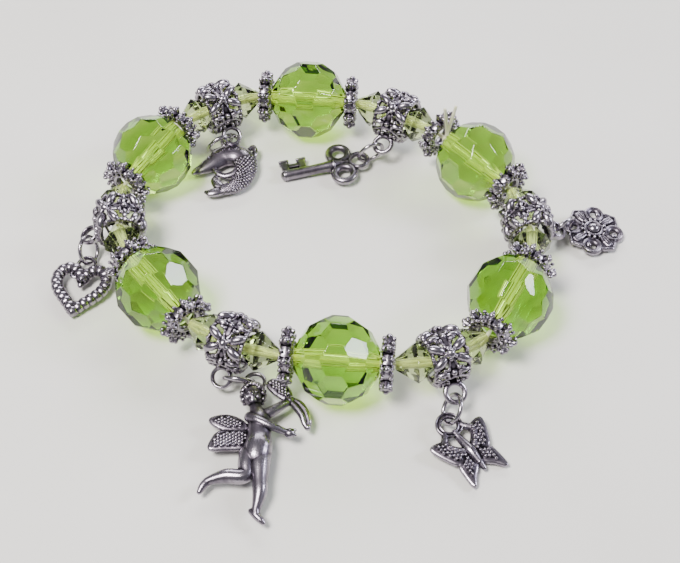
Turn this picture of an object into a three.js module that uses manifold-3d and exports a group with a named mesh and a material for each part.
// Stretch charm bracelet, laid on a table: faceted green beads on an elastic cord, with silver
// spacers and pierced flower beads, each of which carries one cast charm on a jump ring.
// Millimetres, +Z up. The origin is on the table under the middle of the laid bracelet.
import * as THREE from 'three';
import { mergeVertices } from 'three/addons/utils/BufferGeometryUtils.js';
import { ConvexGeometry } from 'three/addons/geometries/ConvexGeometry.js';
import Module from 'manifold-3d';

const wasm = await Module();
wasm.setup();

// Driving dimensions: the string and its beads
const CORD_THICKNESS = 0.8;
const BEAD_WIDTH = 16;
const BEAD_LENGTH = 16;
const BEAD_BORE = 2.4;
const BEAD_SIDES = 10;
const BICONE_WIDTH = 8;
const BICONE_LENGTH = 7.8;
const BICONE_TIP = 2.3;
const BICONE_BORE = 1.5;
const BICONE_SIDES = 10;
const SPACER_WIDTH = 11.8;
const SPACER_LENGTH = 2.2;
const SPACER_BORE = 3.4;
const SPACER_LOBES = 8;
const SEAT_GAP = 0.3;
const TIP_GAP = 0.4;
const KNOT_ROOM = 1.4;
const KNOT_WIDTH = 2.1;
const SHORT_TAIL = 8.2;
const LONG_TAIL = 9.8;

// Driving dimensions: the flower beads that carry the charms, their loops and jump rings
const BAIL_LENGTH = 7.4;
const BAIL_WIDTH = 9.8;
const BAIL_MOUTH = 7.7;
const BAIL_WALL = 0.7;
const BAIL_SIDES = 10;
const BAIL_FLOWERS = 4;
const PETAL_REACH = 4.7;
const PETAL_WIDTH = 2.1;
const PETAL_OVERLAP = 0.15;
const PETAL_THICKNESS = 0.9;
const WINDOW_WIDTH = 2.2;
const BICONE_NEST = 2.25;
const LOOP_WIDTH = 4.8;
const LOOP_WIRE = 1.1;
const RING_WIDTH = 6.3;
const RING_WIRE = 0.7;
const EYELET_WIDTH = 4.5;
const EYELET_WIRE = 0.8;
const EYELET_HEIGHT = 1.9;
const TABLE_GAP = 0.1;

// Driving dimensions: the charms
const CHARM_THICKNESS = 2;
const KEY_LENGTH = 19;
const KEY_RING = 5.4;
const KEY_SHAFT = 1.9;
const FLOWER_WIDTH = 13.6;
const BUTTERFLY_WIDTH = 11.4;
const BUTTERFLY_LENGTH = 12.2;
const HEART_WIDTH = 12.4;
const HEART_LENGTH = 12.4;
const HEART_BAND = 2.3;
const DOLPHIN_LENGTH = 15.8;
const CHERUB_LENGTH = 30;

// The laid string's route, clockwise from the far bead: the direction in degrees from +Y, and the
// distance from the middle as a share of the mean radius
const STRING_ROUTE = [
  { turn: -5, reach: 0.944 },
  { turn: 29, reach: 0.859 },
  { turn: 61, reach: 0.948 },
  { turn: 90, reach: 1.057 },
  { turn: 118, reach: 1.108 },
  { turn: 145, reach: 1.054 },
  { turn: 175, reach: 0.905 },
  { turn: 210, reach: 0.9 },
  { turn: 241, reach: 0.976 },
  { turn: 272, reach: 1.076 },
  { turn: 300, reach: 1.094 },
  { turn: 328, reach: 1.015 },
];
const STRING_START = -0.0503;

// Each charm's hang: how far its loop leans below level, on the outer side of the string or the
// inner one, where its jump ring heads and how it rolls (degrees), whether the ring hangs slack,
// and where the charm itself points
const HANGS = {
  key: { side: -1, lean: 26, heading: 205, roll: 10, slack: false, pointing: 194 },
  flower: { side: 1, lean: 26, heading: 38, roll: 8, slack: false, pointing: -9 },
  butterfly: { side: 1, lean: 30, heading: -87, roll: 32, slack: false, pointing: -54 },
  cherub: { side: 1, lean: 40, heading: -8, roll: 30, slack: false, pointing: -87 },
  heart: { side: 1, lean: 26, heading: -108, roll: 22, slack: false, pointing: -98 },
  dolphin: { side: -1, lean: 28, heading: -150, roll: 20, slack: true, pointing: -90 },
};

const deg = THREE.MathUtils.degToRad;
const bracelet = new THREE.Group();

const greenAcrylic = new THREE.MeshStandardMaterial({ color: '#7fa832', roughness: 0.08, metalness: 0 });
const paleAcrylic = new THREE.MeshStandardMaterial({ color: '#a3b57a', roughness: 0.08, metalness: 0 });
const antiqueSilver = new THREE.MeshStandardMaterial({ color: '#8f8a96', roughness: 0.35, metalness: 1 });
const clearElastic = new THREE.MeshStandardMaterial({ color: '#e6e4cf', roughness: 0.4, metalness: 0 });

// A closed geometry as a solid that can be joined and cut
function solid(geometry) {
  const bare = geometry.clone();
  bare.deleteAttribute('normal');
  bare.deleteAttribute('uv');
  const merged = mergeVertices(bare, 1e-4);
  const corners = merged.index.array;
  const kept = [];
  for (let i = 0; i < corners.length; i += 3) {
    const [a, b, c] = [corners[i], corners[i + 1], corners[i + 2]];
    if (a !== b && b !== c && c !== a) kept.push(a, b, c);
  }
  const vertProperties = new Float32Array(merged.attributes.position.array);
  const triVerts = new Uint32Array(kept);
  return new wasm.Manifold(new wasm.Mesh({ numProp: 3, vertProperties, triVerts }));
}

// A solid as a geometry with flat faces
function geometryOf(body) {
  const mesh = body.getMesh();
  const geometry = new THREE.BufferGeometry();
  geometry.setAttribute('position', new THREE.BufferAttribute(new Float32Array(mesh.vertProperties), 3));
  geometry.setIndex(new THREE.BufferAttribute(new Uint32Array(mesh.triVerts), 1));
  return geometry.toNonIndexed();
}

function joined(geometries) {
  return geometries.map(solid).reduce((whole, piece) => whole.add(piece));
}

function addPiece(name, geometry, material, place) {
  geometry.computeVertexNormals();
  const mesh = new THREE.Mesh(geometry, material);
  mesh.name = name;
  mesh.applyMatrix4(place);
  bracelet.add(mesh);
}

// A round bar along the X axis, for bores and pins
function barAlongX(width, length, sides) {
  return new THREE.CylinderGeometry(width / 2, width / 2, length, sides).rotateZ(Math.PI / 2);
}

function torus(width, wire, wireSides, ringSides) {
  return new THREE.TorusGeometry((width - wire) / 2, wire / 2, wireSides, ringSides);
}

// A limb between two points, round in section with blunt ends
function limb(from, to, startRadius, endRadius, sides = 6) {
  const length = from.distanceTo(to);
  const [a, b] = [startRadius, endRadius];
  const profile = [
    [0, -0.8 * a],
    [a, 0],
    [b, length],
    [0, length + 0.8 * b],
  ].map(([r, h]) => new THREE.Vector2(r, h));
  const turn = new THREE.Quaternion().setFromUnitVectors(
    new THREE.Vector3(0, 1, 0),
    to.clone().sub(from).normalize(),
  );
  const place = new THREE.Matrix4().compose(from, turn, new THREE.Vector3(1, 1, 1));
  return new THREE.LatheGeometry(profile, sides).applyMatrix4(place);
}

function ball(x, y, z, radius) {
  return new THREE.SphereGeometry(radius, 8, 6).translate(x, y, z);
}

// A flat plate from an outline, centred on z = 0
function plate(outline, thickness, holes = []) {
  const shape = new THREE.Shape(outline.map(([x, y]) => new THREE.Vector2(x, y)));
  for (const hole of holes) shape.holes.push(new THREE.Path(hole.map(([x, y]) => new THREE.Vector2(x, y))));
  return new THREE.ExtrudeGeometry(shape, { depth: thickness, bevelEnabled: false })
    .translate(0, 0, -thickness / 2);
}

function circlePoints(x, y, radius, count) {
  return Array.from({ length: count }, (_, i) => {
    const angle = (2 * Math.PI * i) / count;
    return [x + radius * Math.cos(angle), y + radius * Math.sin(angle)];
  });
}

// The cut faces of the big bead: rows of facets, each turned half a step from the row before
function beadPlanes() {
  const halfLength = BEAD_LENGTH / 2;
  const halfWidth = BEAD_WIDTH / 2;
  const rows = [
    { tilt: 0, offset: 0, reach: 1 },
    { tilt: 30, offset: 0.5, reach: 1 },
    { tilt: 58, offset: 0, reach: 1 },
  ];
  const planes = [
    { normal: new THREE.Vector3(1, 0, 0), reach: halfLength },
    { normal: new THREE.Vector3(-1, 0, 0), reach: halfLength },
  ];
  for (const row of rows) {
    for (const end of row.tilt ? [-1, 1] : [1]) {
      for (let i = 0; i < BEAD_SIDES; i += 1) {
        const angle = -Math.PI / 2 + (2 * Math.PI * (i + row.offset)) / BEAD_SIDES;
        const [along, out] = [end * Math.sin(deg(row.tilt)), Math.cos(deg(row.tilt))];
        planes.push({
          normal: new THREE.Vector3(along, out * Math.cos(angle), out * Math.sin(angle)),
          reach: row.reach * Math.hypot(along * halfLength, out * halfWidth),
        });
      }
    }
  }
  return planes;
}

// The corners where three cut faces meet inside all the others
function cornersOf(planes) {
  const corners = [];
  const meeting = new THREE.Matrix3();
  for (let i = 0; i < planes.length; i += 1) {
    for (let j = i + 1; j < planes.length; j += 1) {
      for (let k = j + 1; k < planes.length; k += 1) {
        const [a, b, c] = [planes[i], planes[j], planes[k]];
        meeting.set(...a.normal.toArray(), ...b.normal.toArray(), ...c.normal.toArray());
        if (Math.abs(meeting.determinant()) < 1e-6) continue;
        const corner = new THREE.Vector3(a.reach, b.reach, c.reach).applyMatrix3(meeting.invert());
        if (planes.every((plane) => corner.dot(plane.normal) < plane.reach + 1e-6)) corners.push(corner);
      }
    }
  }
  return corners;
}

function bigBead() {
  const stone = solid(new ConvexGeometry(cornersOf(beadPlanes())));
  const bore = solid(barAlongX(BEAD_BORE, BEAD_LENGTH * 1.1, 10));
  return geometryOf(stone.subtract(bore));
}

// Two facet cones foot to foot, drilled through
function bicone() {
  const [half, tip, bore] = [BICONE_LENGTH / 2, BICONE_TIP / 2, BICONE_BORE / 2];
  const profile = [
    [bore, -half],
    [tip, -half],
    [BICONE_WIDTH / 2, 0],
    [tip, half],
    [bore, half],
    [bore, -half],
  ].map(([r, h]) => new THREE.Vector2(r, h));
  return new THREE.LatheGeometry(profile, BICONE_SIDES).rotateZ(Math.PI / 2);
}

// A flat disc whose rim is a ring of round knobs, with a raised hub round the bore
function spacer() {
  const knob = SPACER_WIDTH * 0.13;
  const knobReach = SPACER_WIDTH / 2 - knob;
  const outline = [];
  for (let i = 0; i < SPACER_LOBES; i += 1) {
    const angle = (2 * Math.PI * i) / SPACER_LOBES;
    for (const turn of [-85, 0, 85]) {
      const swing = angle + deg(turn);
      outline.push([
        knobReach * Math.cos(angle) + knob * Math.cos(swing),
        knobReach * Math.sin(angle) + knob * Math.sin(swing),
      ]);
    }
  }
  const bore = circlePoints(0, 0, SPACER_BORE / 2, 10);
  const rim = plate(outline, SPACER_LENGTH * 0.75, [bore]);
  const hub = plate(circlePoints(0, 0, SPACER_WIDTH * 0.27, 10), SPACER_LENGTH, [bore]);
  return geometryOf(joined([rim, hub])).rotateY(Math.PI / 2);
}

// The wall of the flower bead: a barrel with flats, open at both mouths
function bailBarrel() {
  const [half, mouth, waist] = [BAIL_LENGTH / 2, BAIL_MOUTH / 2, BAIL_WIDTH / 2];
  const profile = [
    [mouth, -half],
    [mouth + BAIL_WALL, -half],
    [waist, 0],
    [mouth + BAIL_WALL, half],
    [mouth, half],
    [mouth, -half],
  ].map(([r, h]) => new THREE.Vector2(r, h));
  return new THREE.LatheGeometry(profile, BAIL_SIDES).rotateZ(Math.PI / 2);
}

// One six-petalled flower bent round the barrel, facing +Z before it is turned into place
function bailFlower() {
  const outline = [];
  const valley = PETAL_WIDTH * 0.62;
  for (let i = 0; i < 6; i += 1) {
    const angle = (Math.PI * i) / 3;
    outline.push([PETAL_REACH * Math.cos(angle), PETAL_REACH * Math.sin(angle)]);
    outline.push([valley * Math.cos(angle + Math.PI / 6), valley * Math.sin(angle + Math.PI / 6)]);
  }
  const flower = plate(outline, PETAL_THICKNESS);
  const place = flower.attributes.position;
  const bend = BAIL_WIDTH / 2;
  const around = (Math.PI * bend) / BAIL_FLOWERS + PETAL_OVERLAP;
  for (let i = 0; i < place.count; i += 1) {
    const angle = (around * place.getY(i)) / (PETAL_REACH * bend);
    const radius = bend + place.getZ(i) + PETAL_THICKNESS * 0.35;
    place.setXYZ(i, place.getX(i), radius * Math.sin(angle), radius * Math.cos(angle));
  }
  return flower;
}

function loopReach() {
  return BAIL_WIDTH / 2 + LOOP_WIDTH / 2 - LOOP_WIRE * 0.3;
}

// The pierced flower bead with its loop, which points along -Z before it is leaned
function bail() {
  let body = solid(bailBarrel());
  const step = (2 * Math.PI) / BAIL_FLOWERS;
  for (let i = 1; i < BAIL_FLOWERS; i += 1) {
    const window = new THREE.CylinderGeometry(WINDOW_WIDTH / 2, WINDOW_WIDTH / 2, BAIL_WIDTH / 2, 6)
      .rotateX(Math.PI / 2)
      .translate(0, 0, -BAIL_WIDTH / 2);
    body = body.subtract(solid(window.rotateX(i * step)));
  }
  for (let i = 0; i < BAIL_FLOWERS; i += 1) {
    const turn = Math.PI + (i + 0.5) * step;
    body = body.add(solid(bailFlower().rotateX(turn)));
  }
  const loop = torus(LOOP_WIDTH, LOOP_WIRE, 5, 12).rotateX(Math.PI / 2).translate(0, 0, -loopReach());
  return geometryOf(body.add(solid(loop)));
}

function jumpRing() {
  return torus(RING_WIDTH, RING_WIRE, 5, 12);
}

// Each charm lies flat: its eyelet's middle is the origin, and it points along +X
function eyelet() {
  return torus(EYELET_WIDTH, EYELET_WIRE, 5, 12);
}

function keyCharm() {
  const bow = KEY_RING * 0.72;
  const side = KEY_RING * 0.58;
  const collar = bow + KEY_RING * 0.28;
  const shaftEnd = KEY_LENGTH - EYELET_WIDTH / 2;
  const pieces = [eyelet()];
  for (const hand of [-1, 1]) {
    pieces.push(torus(KEY_RING, EYELET_WIRE * 1.15, 6, 12).translate(bow, hand * side, 0));
  }
  const shaftStart = new THREE.Vector3(bow * 0.35, 0, 0);
  pieces.push(limb(shaftStart, new THREE.Vector3(shaftEnd, 0, 0), KEY_SHAFT * 0.4, KEY_SHAFT / 2));
  pieces.push(barAlongX(KEY_SHAFT * 1.6, KEY_SHAFT * 0.5, 10).translate(collar, 0, 0));
  const teeth = [
    { at: 0.95, tall: 2.3 },
    { at: 0.72, tall: 2.1 },
  ];
  for (const tooth of teeth) {
    const tall = KEY_SHAFT * tooth.tall;
    pieces.push(
      new THREE.BoxGeometry(KEY_SHAFT * 0.85, tall, KEY_SHAFT * 0.6)
        .translate(shaftEnd * tooth.at, -tall / 2, 0),
    );
  }
  return geometryOf(joined(pieces));
}

// Four curled petals, each round a hole, between four plain ones, with a domed middle; the first
// hole is the eyelet
function flowerCharm() {
  const radius = FLOWER_WIDTH / 2;
  const holeRadius = EYELET_WIDTH / 2 - EYELET_WIRE;
  const petalRadius = EYELET_WIDTH / 2;
  const reach = radius - petalRadius;
  const middle = reach;
  const dome = new THREE.SphereGeometry(petalRadius * 0.9, 8, 5).scale(1, 1, 0.75);
  const pieces = [dome.translate(middle, 0, CHARM_THICKNESS * 0.3)];
  for (let i = 0; i < 4; i += 1) {
    const angle = Math.PI + (Math.PI / 2) * i;
    const [x, y] = [middle + reach * Math.cos(angle), reach * Math.sin(angle)];
    pieces.push(
      plate(circlePoints(x, y, petalRadius, 10), CHARM_THICKNESS * 0.4, [circlePoints(x, y, holeRadius, 10)]),
    );
    const between = angle + Math.PI / 4;
    const tip = reach * 0.92;
    const [tipX, tipY] = [middle + tip * Math.cos(between), tip * Math.sin(between)];
    pieces.push(plate(circlePoints(tipX, tipY, reach * 0.4, 6), CHARM_THICKNESS * 0.6));
  }
  const disc = circlePoints(middle, 0, reach - holeRadius - EYELET_WIRE / 2, 12);
  pieces.push(plate(disc, CHARM_THICKNESS * 0.7));
  return geometryOf(joined(pieces));
}

// Two pairs of wings with slots near the body, and a plain round body
function butterflyCharm() {
  const [half, length] = [BUTTERFLY_WIDTH / 2, BUTTERFLY_LENGTH];
  const wing = [
    { along: 0.1, out: 0.24 },
    { along: 0.12, out: 0.7 },
    { along: 0.2, out: 1 },
    { along: 0.36, out: 0.93 },
    { along: 0.52, out: 0.66 },
    { along: 0.66, out: 0.76 },
    { along: 0.88, out: 0.76 },
    { along: 1, out: 0.68 },
    { along: 0.86, out: 0.42 },
    { along: 0.72, out: 0.1 },
  ];
  const slot = [
    { along: 0.24, out: 0.24 },
    { along: 0.3, out: 0.16 },
    { along: 0.42, out: 0.2 },
    { along: 0.4, out: 0.34 },
    { along: 0.28, out: 0.38 },
  ];
  const place = (points, hand) => points.map((p) => [p.along * length, hand * p.out * half]);
  const outline = [...place(wing, -1), ...place(wing, 1).reverse()];
  const pieces = [
    plate(outline, CHARM_THICKNESS * 0.6, [place(slot, -1).reverse(), place(slot, 1)]),
    eyelet(),
    limb(
      new THREE.Vector3(length * 0.24, 0, 0),
      new THREE.Vector3(length * 0.84, 0, 0),
      CHARM_THICKNESS * 0.5,
      CHARM_THICKNESS * 0.34,
    ),
  ];
  return geometryOf(joined(pieces));
}

// The heart's line, from its notch round and back; x runs from the notch to the tip
function heartPoints(width, length, notch, count) {
  const turns = Array.from({ length: count }, (_, i) => (2 * Math.PI * i) / count);
  const clear = turns.filter((t, i) => i === 0 || i === count / 2 || Math.abs(Math.sin(t)) > 0.35);
  return clear.map((t) => {
    const rise = 13 * Math.cos(t) - 5 * Math.cos(2 * t) - 2 * Math.cos(3 * t) - Math.cos(4 * t);
    return [notch - (length / 29) * (rise - 5), (width / 2) * Math.sin(t) ** 3];
  });
}

// An open heart with a small knob of ornament in its notch, under the eyelet
function heartCharm() {
  const notch = EYELET_WIDTH / 2 + HEART_BAND * 0.3;
  const share = 1 - (2 * HEART_BAND) / HEART_WIDTH;
  const thickness = CHARM_THICKNESS * 0.8;
  const outer = plate(heartPoints(HEART_WIDTH, HEART_LENGTH, notch, 28), thickness);
  const inner = plate(
    heartPoints(HEART_WIDTH * share, HEART_LENGTH * share, notch + HEART_BAND * 0.62, 20),
    thickness * 2,
  );
  const knob = ball(notch, 0, 0, HEART_BAND * 0.6);
  return geometryOf(solid(outer).subtract(solid(inner)).add(joined([eyelet(), knob])));
}

// A leaping dolphin bent into a C: a body of round sections along a bent line, with fins and flukes
function dolphinCharm() {
  const size = DOLPHIN_LENGTH;
  const line = [
    { along: 0.56, out: -0.46, radius: 0.028 },
    { along: 0.49, out: -0.34, radius: 0.06 },
    { along: 0.36, out: -0.22, radius: 0.13 },
    { along: 0.25, out: -0.04, radius: 0.16 },
    { along: 0.27, out: 0.15, radius: 0.165 },
    { along: 0.46, out: 0.26, radius: 0.15 },
    { along: 0.68, out: 0.25, radius: 0.115 },
    { along: 0.86, out: 0.12, radius: 0.07 },
    { along: 0.93, out: -0.02, radius: 0.045 },
  ];
  const at = (p) => new THREE.Vector3(p.along * size, p.out * size, 0);
  const pieces = [eyelet()];
  for (let i = 1; i < line.length; i += 1) {
    const [a, b] = [line[i - 1], line[i]];
    pieces.push(limb(at(a), at(b), a.radius * size, b.radius * size).scale(1, 1, 0.62));
  }
  const fins = [
    [[0.18, 0.18], [0.1, 0.36], [0.32, 0.38], [0.36, 0.22]],
    [[0.42, 0.12], [0.42, -0.02], [0.5, -0.13], [0.62, -0.16], [0.6, -0.03], [0.5, 0.06], [0.5, 0.14]],
    [[0.88, 0.04], [0.8, -0.18], [0.93, -0.1], [1, -0.22], [1, 0.02]],
  ];
  for (const fin of fins) {
    const outline = fin.map(([along, out]) => [along * size, out * size]);
    pieces.push(plate(outline, CHARM_THICKNESS * 0.6));
  }
  return geometryOf(joined(pieces));
}

// A plain winged cupid with a bow, in rounded relief; x runs from the head to the feet
function cherubCharm() {
  const size = CHERUB_LENGTH;
  const at = (along, out, up) => new THREE.Vector3(along * size, out * size, up * size);
  const limbs = [
    { from: [0.3, -0.01, 0.04], to: [0.42, 0.03, 0.035], start: 0.085, end: 0.08 },
    { from: [0.42, 0.03, 0.035], to: [0.54, 0.05, 0.03], start: 0.08, end: 0.09 },
    { from: [0.57, 0.03, 0.03], to: [0.7, -0.03, 0.045], start: 0.065, end: 0.05 },
    { from: [0.7, -0.03, 0.045], to: [0.77, -0.22, 0.01], start: 0.045, end: 0.032 },
    { from: [0.57, 0.07, 0.02], to: [0.77, 0.08, 0.015], start: 0.065, end: 0.048 },
    { from: [0.77, 0.08, 0.015], to: [0.94, 0.07, 0.005], start: 0.042, end: 0.03 },
    { from: [0.31, 0.07, 0.04], to: [0.26, 0.15, 0.04], start: 0.042, end: 0.034 },
    { from: [0.26, 0.15, 0.04], to: [0.18, 0.22, 0.03], start: 0.034, end: 0.028 },
    { from: [0.31, 0, 0.075], to: [0.4, 0.12, 0.07], start: 0.04, end: 0.034 },
    { from: [0.4, 0.12, 0.07], to: [0.41, 0.24, 0.03], start: 0.034, end: 0.03 },
  ];
  const pieces = [eyelet(), ball(0.15 * size, -0.005 * size, 0.04 * size, 0.095 * size)];
  pieces.push(limb(at(0.2, 0, 0.03), at(0.28, 0, 0.035), 0.05 * size, 0.06 * size));
  for (const one of limbs) {
    pieces.push(limb(at(...one.from), at(...one.to), one.start * size, one.end * size));
  }
  pieces.push(limb(at(0.77, -0.22, 0.01), at(0.8, -0.27, 0.01), 0.034 * size, 0.024 * size));
  pieces.push(limb(at(0.94, 0.07, 0.005), at(0.965, 0.12, 0.005), 0.032 * size, 0.024 * size));
  const wings = [
    [[0.3, 0.02], [0.26, -0.14], [0.27, -0.27], [0.35, -0.25], [0.38, -0.1], [0.38, 0]],
    [[0.36, 0.02], [0.38, -0.12], [0.46, -0.24], [0.52, -0.26], [0.5, -0.13], [0.42, 0]],
  ];
  for (const wing of wings) {
    const outline = wing.map(([along, out]) => [along * size, out * size]);
    pieces.push(plate(outline, CHARM_THICKNESS * 0.6));
  }
  const bow = [
    [0.06, 0.1, 0.02],
    [0.09, 0.19, 0.025],
    [0.25, 0.29, 0.03],
    [0.37, 0.33, 0.02],
  ];
  for (let i = 1; i < bow.length; i += 1) {
    pieces.push(limb(at(...bow[i - 1]), at(...bow[i]), 0.018 * size, 0.018 * size, 5));
  }
  const stem = limb(at(0, 0, 0.005), at(0.1, 0, 0.03), EYELET_WIRE * 0.6, 0.05 * size);
  pieces.push(stem.translate(EYELET_WIDTH / 2, 0, 0));
  return geometryOf(joined(pieces));
}

// The string's units in order: each is a straight run between two points of the route
function unitsOf() {
  const units = [];
  const names = ['key', 'flower', 'butterfly', 'cherub', 'heart', 'dolphin'];
  const seated = BEAD_LENGTH + 2 * (SPACER_LENGTH + SEAT_GAP);
  const bared = TIP_GAP + BICONE_LENGTH - BICONE_NEST;
  names.forEach((name, i) => {
    units.push({ kind: 'bead', name, length: seated + (i === 1 ? KNOT_ROOM : 0), knot: i === 1 });
    units.push({ kind: 'bicone', name, length: bared, into: 1 });
    units.push({ kind: 'bail', name, length: BAIL_LENGTH });
    units.push({ kind: 'bicone', name, length: bared, into: -1 });
  });
  return units;
}

// Walks the units along the route at one mean radius; done is the share of the route they take
function walk(units, curve, radius) {
  const samples = 1440;
  const points = curve.getPoints(samples);
  const pointAt = (u) => {
    const whole = Math.floor(u * samples);
    const share = u * samples - whole;
    const wrap = (i) => ((i % samples) + samples) % samples;
    return points[wrap(whole)].clone().lerp(points[wrap(whole + 1)], share).multiplyScalar(radius);
  };
  let u = STRING_START;
  const runs = [];
  for (const unit of units) {
    const start = pointAt(u);
    let low = u;
    let high = u + 0.2;
    for (let i = 0; i < 40; i += 1) {
      const middle = (low + high) / 2;
      if (pointAt(middle).distanceTo(start) < unit.length) low = middle;
      else high = middle;
    }
    u = high;
    runs.push({ ...unit, start, end: pointAt(u) });
  }
  return { runs, done: u - STRING_START };
}

// The mean radius at which the units just close the loop
function layString() {
  const points = STRING_ROUTE.map(
    (p) => new THREE.Vector3(p.reach * Math.sin(deg(p.turn)), p.reach * Math.cos(deg(p.turn)), 0),
  );
  const curve = new THREE.CatmullRomCurve3(points, true, 'catmullrom', 0.5);
  const units = unitsOf();
  const around = units.reduce((sum, unit) => sum + unit.length, 0);
  let low = around / 12;
  let high = around / 3;
  for (let i = 0; i < 40; i += 1) {
    const middle = (low + high) / 2;
    if (walk(units, curve, middle).done > 1) low = middle;
    else high = middle;
  }
  return walk(units, curve, high).runs;
}

// A frame with X along the run, Z up, at a distance from the run's start
function frameAlong(run, distance) {
  const along = run.end.clone().sub(run.start).normalize();
  const up = new THREE.Vector3(0, 0, 1);
  const across = up.clone().cross(along);
  const at = run.start.clone().addScaledVector(along, distance);
  at.z = BEAD_WIDTH / 2;
  return new THREE.Matrix4().makeBasis(along, across, up).setPosition(at);
}

function beadUnit(run, number) {
  const near = frameAlong(run, SPACER_LENGTH / 2);
  const far = frameAlong(run, run.length - SPACER_LENGTH / 2);
  const knot = run.knot ? KNOT_ROOM : 0;
  const middle = frameAlong(run, SPACER_LENGTH + SEAT_GAP + knot + BEAD_LENGTH / 2);
  addPiece(`big_bead_${number}`, bigBead(), greenAcrylic, middle);
  addPiece(`spacer_${number}_first`, spacer(), antiqueSilver, near);
  addPiece(`spacer_${number}_second`, spacer(), antiqueSilver, far);
}

function biconeOffset(run) {
  const fromBead = TIP_GAP + BICONE_LENGTH / 2;
  return run.into > 0 ? fromBead : run.length - fromBead;
}

// The bail's loop leans out or in from straight down; this is the direction in which it points
function loopDirection(run, hang) {
  const along = run.end.clone().sub(run.start).normalize();
  const out = along.clone().cross(new THREE.Vector3(0, 0, 1)).multiplyScalar(-hang.side);
  const lean = deg(hang.lean);
  return { along, out, down: out.clone().multiplyScalar(Math.cos(lean)).setZ(-Math.sin(lean)) };
}

// Where the jump ring and the charm's eyelet lie, from the loop that carries them
function hangFrom(centre, direction, hang) {
  const ringRadius = (RING_WIDTH - RING_WIRE) / 2;
  const roll = deg(hang.roll);
  const heading = new THREE.Vector3(Math.cos(deg(hang.heading)), Math.sin(deg(hang.heading)), 0);
  const aside = new THREE.Vector3(0, 0, 1).cross(heading);
  if (aside.dot(direction.out) < 0) aside.negate();
  const rise = aside.clone().multiplyScalar(Math.sin(roll)).setZ(Math.cos(roll));
  const slip = (LOOP_WIDTH / 2 - LOOP_WIRE - RING_WIRE / 2) * 0.45;
  const hold = centre.clone().addScaledVector(direction.down, loopReach()).addScaledVector(heading, slip);
  const lowest = ringRadius * Math.cos(roll) + RING_WIRE / 2 + TABLE_GAP;
  const ringHeight = Math.max(lowest, (hold.z + EYELET_HEIGHT) / 2);
  const upper = Math.asin((hold.z - ringHeight) / (ringRadius * Math.cos(roll)));
  const lower = Math.asin((ringHeight - EYELET_HEIGHT) / (ringRadius * Math.cos(roll)));
  const middle = hold
    .clone()
    .addScaledVector(heading, ringRadius * Math.cos(upper))
    .addScaledVector(rise, -ringRadius * Math.sin(upper));
  const side = hang.slack ? -1 : 1;
  const eye = middle
    .clone()
    .addScaledVector(heading, side * (ringRadius * Math.cos(lower) + slip))
    .addScaledVector(rise, -ringRadius * Math.sin(lower));
  const ring = new THREE.Matrix4()
    .makeBasis(heading, rise, heading.clone().cross(rise))
    .setPosition(middle);
  return { ring, eye };
}

// A charm lies with its far end on the table and its eyelet lifted by the jump ring
function charmFrame(eye, hang, charm) {
  const tilt = Math.asin((eye.z - charm.under - TABLE_GAP / 2) / charm.far);
  return new THREE.Matrix4()
    .makeTranslation(eye.x, eye.y, eye.z)
    .multiply(new THREE.Matrix4().makeRotationZ(deg(hang.pointing)))
    .multiply(new THREE.Matrix4().makeRotationY(tilt));
}

const CHARMS = {
  key: { make: keyCharm, under: KEY_SHAFT / 2, far: KEY_LENGTH - EYELET_WIDTH / 2 },
  flower: { make: flowerCharm, under: CHARM_THICKNESS * 0.35, far: FLOWER_WIDTH - EYELET_WIDTH / 2 },
  butterfly: { make: butterflyCharm, under: CHARM_THICKNESS * 0.34, far: BUTTERFLY_LENGTH },
  cherub: { make: cherubCharm, under: CHERUB_LENGTH * 0.065, far: CHERUB_LENGTH * 0.6 },
  heart: { make: heartCharm, under: CHARM_THICKNESS * 0.4, far: HEART_LENGTH },
  dolphin: { make: dolphinCharm, under: DOLPHIN_LENGTH * 0.1, far: DOLPHIN_LENGTH * 0.5 },
};

function bailUnit(run) {
  const hang = HANGS[run.name];
  const middle = frameAlong(run, run.length / 2);
  const direction = loopDirection(run, hang);
  const across = direction.down.clone().negate().cross(direction.along);
  const centre = new THREE.Vector3().setFromMatrixPosition(middle);
  const leaned = new THREE.Matrix4()
    .makeBasis(direction.along, across, direction.down.clone().negate())
    .setPosition(centre);
  addPiece(`flower_bail_${run.name}`, bail(), antiqueSilver, leaned);
  const { ring, eye } = hangFrom(centre, direction, hang);
  addPiece(`jump_ring_${run.name}`, jumpRing(), antiqueSilver, ring);
  const charm = CHARMS[run.name];
  addPiece(`charm_${run.name}`, charm.make(), antiqueSilver, charmFrame(eye, hang, charm));
}

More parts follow.
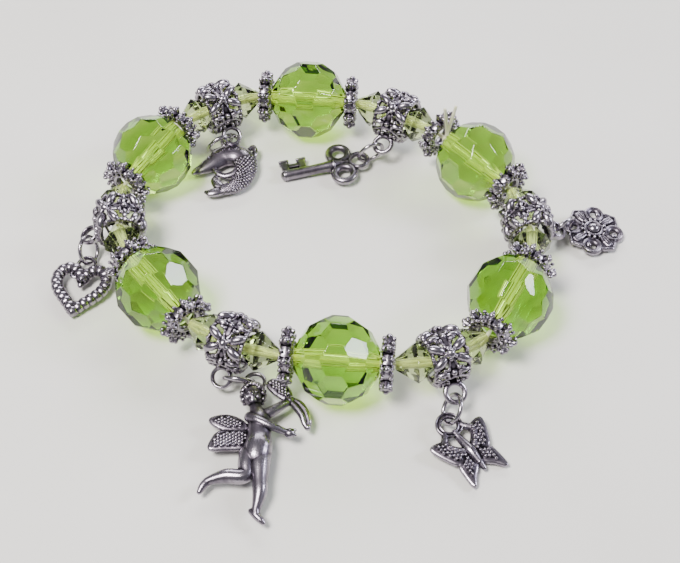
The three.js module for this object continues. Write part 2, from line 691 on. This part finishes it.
// A six-sided cord along a closed line of points, mitred at each of them
function cordLoop(points) {
  const sides = 6;
  const position = [];
  const index = [];
  const count = points.length;
  points.forEach((point, i) => {
    const before = point.clone().sub(points[(i + count - 1) % count]).normalize();
    const after = points[(i + 1) % count].clone().sub(point).normalize();
    const mitre = before.clone().add(after).normalize();
    const across = new THREE.Vector3(-mitre.y, mitre.x, 0);
    const spread = 1 / Math.cos(before.angleTo(after) / 2);
    for (let k = 0; k < sides; k += 1) {
      const angle = (2 * Math.PI * k) / sides;
      const corner = point.clone().addScaledVector(across, (CORD_THICKNESS / 2) * spread * Math.cos(angle));
      corner.z += (CORD_THICKNESS / 2) * Math.sin(angle);
      position.push(...corner.toArray());
      const next = ((i + 1) % count) * sides;
      const [a, b] = [i * sides + k, i * sides + ((k + 1) % sides)];
      const [c, d] = [next + k, next + ((k + 1) % sides)];
      index.push(a, b, d, a, d, c);
    }
  });
  const geometry = new THREE.BufferGeometry();
  geometry.setAttribute('position', new THREE.Float32BufferAttribute(position, 3));
  geometry.setIndex(index);
  return geometry;
}

// The cord's points: where it leaves each seated bead, and where it crosses each flower bead
function cordPoints(runs) {
  const points = [];
  for (const run of runs) {
    const point = (distance) => new THREE.Vector3().setFromMatrixPosition(frameAlong(run, distance));
    if (run.kind === 'bead') points.push(point(0), point(run.length));
    const nested = TIP_GAP + BICONE_LENGTH;
    if (run.kind === 'bicone') points.push(point(run.into > 0 ? nested : run.length - nested));
  }
  return points;
}

// The elastic's knot and its two cut ends, in the room between a spacer and its bead
function knotPieces(run) {
  const frame = frameAlong(run, SPACER_LENGTH + (KNOT_ROOM + SEAT_GAP) / 2);
  const knot = new THREE.SphereGeometry(KNOT_WIDTH / 2, 8, 6).scale(0.5, 1, 1);
  const root = CORD_THICKNESS * 0.4;
  const ends = [
    { lean: 0.26, length: SHORT_TAIL, from: -root },
    { lean: -0.12, length: LONG_TAIL, from: root },
  ];
  const tails = ends.map((end) =>
    limb(
      new THREE.Vector3(0, end.from, root),
      new THREE.Vector3(0, end.lean * end.length, end.length),
      CORD_THICKNESS * 0.45,
      CORD_THICKNESS * 0.45,
    ),
  );
  return [knot, ...tails].map((piece) => piece.applyMatrix4(frame));
}

const runs = layString();
let beadNumber = 0;
for (const run of runs) {
  if (run.kind === 'bead') beadUnit(run, (beadNumber += 1));
  if (run.kind === 'bail') bailUnit(run);
  if (run.kind === 'bicone') {
    const place = run.into > 0 ? 'before' : 'after';
    addPiece(`bicone_${place}_${run.name}`, bicone(), paleAcrylic, frameAlong(run, biconeOffset(run)));
  }
}
const knotted = runs.find((run) => run.knot);
const cord = joined([cordLoop(cordPoints(runs)), ...knotPieces(knotted)]);
addPiece('elastic_cord', geometryOf(cord), clearElastic, new THREE.Matrix4());

// The origin: on the table, under the middle of all that is built
const bounds = new THREE.Box3().setFromObject(bracelet, true);
bracelet.position.set(
  -(bounds.min.x + bounds.max.x) / 2,
  -(bounds.min.y + bounds.max.y) / 2,
  -bounds.min.z,
);
bracelet.updateMatrixWorld(true);

export default bracelet;
